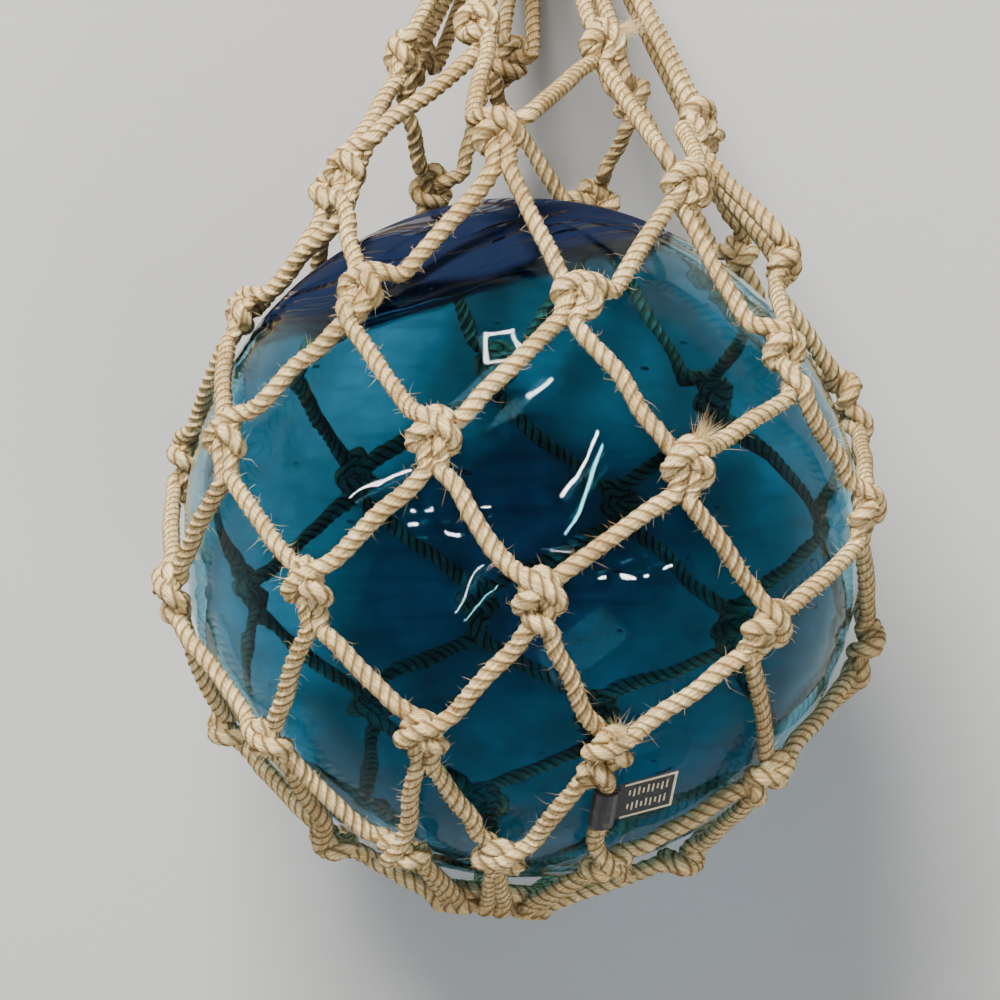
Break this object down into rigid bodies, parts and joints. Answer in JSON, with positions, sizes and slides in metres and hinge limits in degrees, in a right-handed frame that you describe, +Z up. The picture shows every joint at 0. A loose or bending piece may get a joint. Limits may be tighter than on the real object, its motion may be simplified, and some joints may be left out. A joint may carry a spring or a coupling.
{
  "type": "glass float ball",
  "caption": "Hollow glass fishing float held in a knotted twine net whose neck is gathered and bound, lying on its side.",
  "frame": {"origin": "middle of the footprint, on the surface that the float lies on", "axes": "+Z up from that surface, +Y along the net from the foot ring to the bound neck, +X across"},
  "size_m": [0.1614, 0.2842, 0.1617],
  "materials": {
    "sea_glass": "blown, glossy, with streaks and bubbles",
    "jute_twine": "laid twine, dull and hairy",
    "whipping_twine": "laid twine, dull",
    "black_foil": "printed foil, satin"
  },
  "bodies": {
    "root": {"glass_ball": "sea_glass", "net": "jute_twine", "neck_binding": "whipping_twine", "label": "black_foil"}
  },
  "joints": []
}
